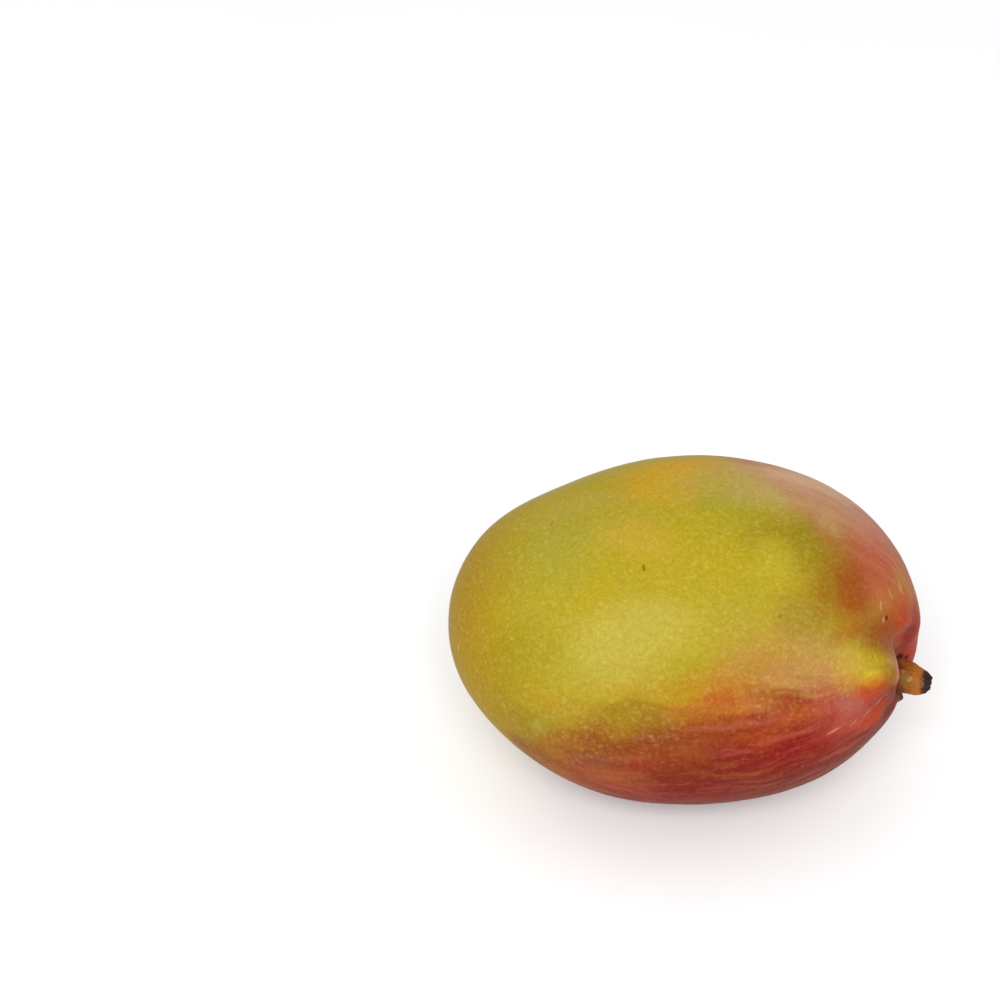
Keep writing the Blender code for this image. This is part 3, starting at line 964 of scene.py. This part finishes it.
# %% Scratches and specks
# name, colour, middle in mm, heading, half length in mm, half width in mm, strength
MARKS = (
    ("brown dash", (96, 74, 10), (-13.2, -21.5, 38.4), (0.1, 0.8, 0.5), 1.2, 0.45, 0.60),
    ("dash foot", (84, 66, 8), (-13.1, -22.3, 38.0), (0.1, 0.8, 0.5), 0.5, 0.50, 0.50),
    ("brown nick", (104, 84, 16), (-35.3, -0.5, 35.9), (0.6, 0.7, 0.2), 1.1, 0.45, 0.55),
    ("brown specks", (116, 78, 14), (20.0, -31.9, 31.5), (1.0, 0.2, 0.1), 0.7, 0.5, 0.50),
    ("sunk speck", (52, 26, 16), (49.1, -20.9, 21.3), (0.3, 0.5, 0.7), 0.75, 0.5, 0.90),
    ("edge of the speck", (186, 140, 96), (48.2, -22.0, 21.6), (0.3, 0.3, 0.9), 0.8, 0.5, 0.60),
    ("dark dash", (88, 48, 38), (56.9, -13.7, 11.6), (0.48, 0.66, -0.57), 4.6, 0.62, 0.85),
    ("end of the dash", (52, 26, 22), (59.3, -10.5, 9.0), (0.3, 0.6, 0.7), 0.9, 0.50, 0.85),
    ("black speck", (34, 16, 18), (29.8, -38.8, -18.1), (1.0, 0.3, 0.3), 0.7, 0.45, 0.90),
    ("long scratch", (186, 112, 94), (34.9, -40.9, 1.2), (0.86, 0.42, 0.22), 2.5, 0.60, 0.72),
    ("short scratch", (176, 106, 88), (40.4, -37.6, 0.8), (0.75, 0.55, 0.3), 1.5, 0.60, 0.55),
    ("fine scratch", (180, 108, 86), (44.2, -34.4, 1.2), (0.70, 0.71, 0.09), 2.2, 0.45, 0.60),
    ("curved rub", (184, 112, 88), (47.4, -31.0, 2.0), (0.55, 0.70, 0.45), 1.7, 0.42, 0.60),
    ("rubbed streak", (188, 134, 94), (47.4, -20.0, 24.5), (0.0, 0.79, 0.62), 1.7, 0.45, 0.60),
    ("second rub", (186, 130, 84), (50.5, -14.9, 24.5), (0.48, -0.60, -0.75), 1.8, 0.42, 0.55),
    ("rubbed patch", (184, 132, 72), (54.1, -9.9, 22.4), (0.2, 0.7, 0.6), 2.4, 1.0, 0.55),
    ("blossom scar", (186, 166, 70), (-59.4, -14.1, 5.6), (0.0, 0.3, 0.9), 1.1, 0.6, 0.65),
)
MARK_DEPTH_SHARE = 0.3
mark_place = skin.pushed(place, size=1.2, far=0.8, detail=3.0)
for name, shade, centre, heading, length, width, strength in MARKS:
    outward = unit(centre)
    run = unit(np.array(heading) - np.dot(heading, outward) * outward)
    beside = np.cross(outward, run)
    offset = skin.shift(mark_place, tuple(-part for part in centre))
    ahead = skin.times(skin.along(offset, run), 1 / length)
    aside = skin.times(skin.along(offset, beside), 1 / width)
    deep = skin.times(skin.along(offset, outward), MARK_DEPTH_SHARE)
    from_mark = skin.add("CombineXYZ", {0: ahead, 1: aside, 2: deep})
    mask = skin.times(skin.fade(skin.length(from_mark), 1.2, 0.4), strength)
    colour = skin.glaze(colour, paint(*shade), mask)
skin.pour(colour, skin.shader.inputs["Base Color"])
print("marks:", len(MARKS), "nodes:", len(skin.tree.nodes))

# %% [markdown]
# ## Wax and fine relief
#
# Mango skin is waxy: it shines softly. The roughness follows the mottle, and a bump gives the
# pores and the faint orange peel, which are too fine for the mesh. The shine is kept low: in white
# light from all round, a stronger one would wash out the colours near the outline. A little light
# goes into the flesh and comes out again, which is the subsurface part.

# %% Shine of the skin
PEEL_HEIGHT, WAVE_BUMP, PORE_HEIGHT = 0.020, 0.035, 0.012
roughness = skin.sum(skin.times(mottle, 0.16), 0.36)
skin.pour(roughness, skin.shader.inputs["Roughness"])
peel = skin.times(skin.cloud(place, 0.8, 2.0), PEEL_HEIGHT)
waves = skin.times(skin.cloud(place, 3.2, 2.0), WAVE_BUMP)
pores = skin.times(dot_mask, PORE_HEIGHT)
height = skin.sum(skin.sum(peel, waves), pores)
bump = skin.add("Bump", {"Height": height, "Distance": MM, "Strength": 1.0})
skin.pour(bump, skin.shader.inputs["Normal"])
for name, value in {
    "IOR": 1.45,
    "Specular IOR Level": 0.03,
    "Specular Tint": (0.4, 0.4, 0.4, 1),
    "Subsurface Weight": 0.10,
    "Subsurface Radius": (1.0, 0.55, 0.2),
    "Subsurface Scale": 0.002,
}.items():
    skin.shader.inputs[name].default_value = value
fruit.data.materials.append(skin.material)
print("skin finished")

# %% [markdown]
# ## The dry stalk
#
# The stub is dark brown where it leaves the hollow and nearly black at its broken end. Between
# them it is orange-brown with an olive side. The object's Z runs along the stalk, so bands of
# colour that start at given heights do most of the work. Faint dark lines and a few patches and
# pale flecks do the rest. One patch is painted shadow, where the rim of the hollow shades the
# stalk's side.

# %% Stalk colours
bark = Recipe("dry_stalk")
bark_place = bark.place_in_mm()
bark_wander = bark.pushed(bark_place, size=1.8, far=2.6, detail=4.0)
level = bark.along(bark_wander, (0, 0, 1))
# colour, height where it starts in mm, height where it is whole in mm, strength
STALK_BANDS = (
    ((104, 52, 10), 3.2, 5.4, 1.0),
    ((132, 76, 14), 5.6, 7.2, 0.80),
    ((148, 88, 20), 7.8, 9.0, 0.80),
    ((96, 36, 12), 10.3, 11.3, 0.90),
    ((32, 21, 13), 11.1, 11.8, 0.96),
)
bark_colour = paint(46, 24, 12)
for shade, none, full, strength in STALK_BANDS:
    mask = bark.times(bark.fade(level, none, full), strength)
    bark_colour = bark.glaze(bark_colour, paint(*shade), mask)
lines = bark.cloud(bark.stretch(bark_place, (1, 1, 0.12)), 0.55, 3.0)
line_mask = bark.times(bark.fade(lines, 0.50, 0.30), 0.14)
bark_colour = bark.glaze(bark_colour, paint(84, 44, 12), line_mask)
# name, colour, middle in mm, reach in mm, strength
BARK_PATCHES = (
    ("olive middle", (112, 84, 26), (4.2, 1.0, 6.4), (3.8, 2.8, 2.8), 0.80),
    ("orange top", (134, 66, 12), (2.5, -3.4, 6.0), (3.0, 2.4, 3.6), 0.70),
    ("pale fleck", (166, 132, 76), (4.3, 0.6, 8.1), (2.0, 0.8, 0.4), 0.60),
    ("second fleck", (150, 116, 62), (4.3, -1.2, 6.0), (2.0, 0.8, 0.7), 0.50),
    # Painted shadow: the stalk's side next to the rim of the hollow is painted darker.
    ("painted shadow of the hollow's rim", (72, 34, 12), (4.0, 0.5, 4.1), (4.0, 6.0, 1.6), 0.75),
    ("dark lower edge", (58, 34, 16), (2.2, 4.2, 4.6), (2.8, 1.6, 3.6), 0.75),
    ("grey glint", (112, 106, 94), (3.0, 1.0, 11.3), (1.6, 1.7, 0.32), 0.58),
)
bark_colour = bark.lay_patches(bark_colour, bark_wander, BARK_PATCHES, edge=0.3)
bark.pour(bark_colour, bark.shader.inputs["Base Color"])
print("stalk bands:", len(STALK_BANDS), "patches:", len(BARK_PATCHES))

# %% [markdown]
# ## The feel of dry wood
#
# Dry wood hardly shines. The same lines that darken the stalk roughen it and stand up a little,
# and a fine cloud adds grit. The larger wrinkles are in the mesh already, so this bump is slight.

# %% Stalk surface
fibre = bark.times(lines, 0.12)
grit = bark.times(bark.cloud(bark_place, 0.35, 3.0), 0.06)
bark_bump = bark.add("Bump", {"Height": bark.sum(fibre, grit), "Distance": MM, "Strength": 0.9})
bark.pour(bark_bump, bark.shader.inputs["Normal"])
bark.pour(bark.sum(bark.times(lines, 0.25), 0.42), bark.shader.inputs["Roughness"])
bark.shader.inputs["Specular IOR Level"].default_value = 0.15
stalk.data.materials.append(bark.material)
print("stalk finished")

# %% [markdown]
# ## One body
#
# The model has one body, and nothing on a mango moves, so both pieces ride on it.

# %% Ride
for piece in (fruit, stalk):
    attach(piece, "root")
print("riding:", fruit.name, stalk.name)

# %% [markdown]
# ## The floor
#
# The fruit lies on plain white. A big matte plane is enough, with a trace of cloud in its colour.

# %% White floor
FLOOR_SIZE = 6.0
floor_mesh = bpy.data.meshes.new("white_floor")
half = FLOOR_SIZE / 2
floor_mesh.from_pydata(
    [(-half, -half, 0), (half, -half, 0), (half, half, 0), (-half, half, 0)], [], [(0, 1, 2, 3)]
)
floor = bpy.data.objects.new("white_floor", floor_mesh)
bpy.context.scene.collection.objects.link(floor)
white = Recipe("white_floor")
floor_place = white.add("TexCoord", {}, out="Object")
floor_cloud = white.cloud(floor_place, 0.25, 2.0)
floor_colour = white.glaze((0.86, 0.86, 0.86, 1), (0.90, 0.90, 0.90, 1), floor_cloud)
white.pour(floor_colour, white.shader.inputs["Base Color"])
white.shader.inputs["Roughness"].default_value = 0.9
white.shader.inputs["Specular IOR Level"].default_value = 0.1
floor_mesh.materials.append(white.material)
floor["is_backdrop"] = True
print("floor laid")

# %% [markdown]
# ## Light
#
# The photograph was taken in soft, white light from nearly all round, a little stronger from above
# the camera. Photographers get it with a tent of white cloth. A white world is our tent, and one
# broad lamp above the camera is the key light, whose shadow is soft. The Standard view keeps the
# white floor white.

# %% Lamps
TENT_STRENGTH = 0.82
KEY_PLACE, KEY_SIZE, KEY_POWER = (-0.20, -1.60, 1.50), (1.6, 1.0), 40.0
key_light = bpy.data.lights.new("key", "AREA")
key_light.shape = "RECTANGLE"
key_light.size, key_light.size_y = KEY_SIZE
key_light.energy = KEY_POWER
key = bpy.data.objects.new("key", key_light)
key.location = KEY_PLACE
toward_fruit = Vector((0, 0, 0.04)) - Vector(KEY_PLACE)
key.rotation_euler = toward_fruit.to_track_quat("-Z", "Y").to_euler()
bpy.context.scene.collection.objects.link(key)
world = bpy.data.worlds.new("tent")
world.use_nodes = True
tent = world.node_tree.nodes["Background"]
tent.inputs["Color"].default_value = (0.992, 0.992, 1.0, 1)
tent.inputs["Strength"].default_value = TENT_STRENGTH
bpy.context.scene.world = world
bpy.context.scene.view_settings.view_transform = "Standard"
print("tent strength:", TENT_STRENGTH, "key power:", KEY_POWER)

# %% [markdown]
# ## The camera
#
# The photograph looks down on the fruit at 37 degrees. The fruit is right of and below the middle
# of the picture, and we keep it there: from the lens and the pixel at which the fruit's middle
# falls, a little geometry gives the place of the camera.

# %% Camera
LENS_MM, SENSOR_MM, PICTURE = 70.0, 36.0, 1000
LOOK_DOWN = math.radians(37)
FRUIT_PIXEL = (681.7, 628.0)
DISTANCE = 0.5208
camera_data = bpy.data.cameras.new("camera")
camera_data.lens, camera_data.sensor_width = LENS_MM, SENSOR_MM
camera = bpy.data.objects.new("camera", camera_data)
camera.rotation_euler = Euler((math.pi / 2 - LOOK_DOWN, 0, 0))
pixels_per_slope = LENS_MM / SENSOR_MM * PICTURE
aside = (FRUIT_PIXEL[0] - PICTURE / 2) / pixels_per_slope
above = -(FRUIT_PIXEL[1] - PICTURE / 2) / pixels_per_slope
ahead = camera.rotation_euler.to_matrix() @ Vector((aside, above, -1))
camera.location = Vector(middle) - ahead * DISTANCE
bpy.context.scene.collection.objects.link(camera)
bpy.context.scene.camera = camera
print("camera at", [round(part, 3) for part in camera.location])

# %% [markdown]
# ## Measure once more
#
# The boxes of the measured fruit and of the dressed one are printed side by side. The dressed
# fruit may not outgrow the measured one.

# %% Sizes
bpy.context.view_layer.update()
sizes = {"cad": measured_box, "visual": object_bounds()}
sizes = {name: [list(map(float, corner)) for corner in box] for name, box in sizes.items()}
print(sizes)
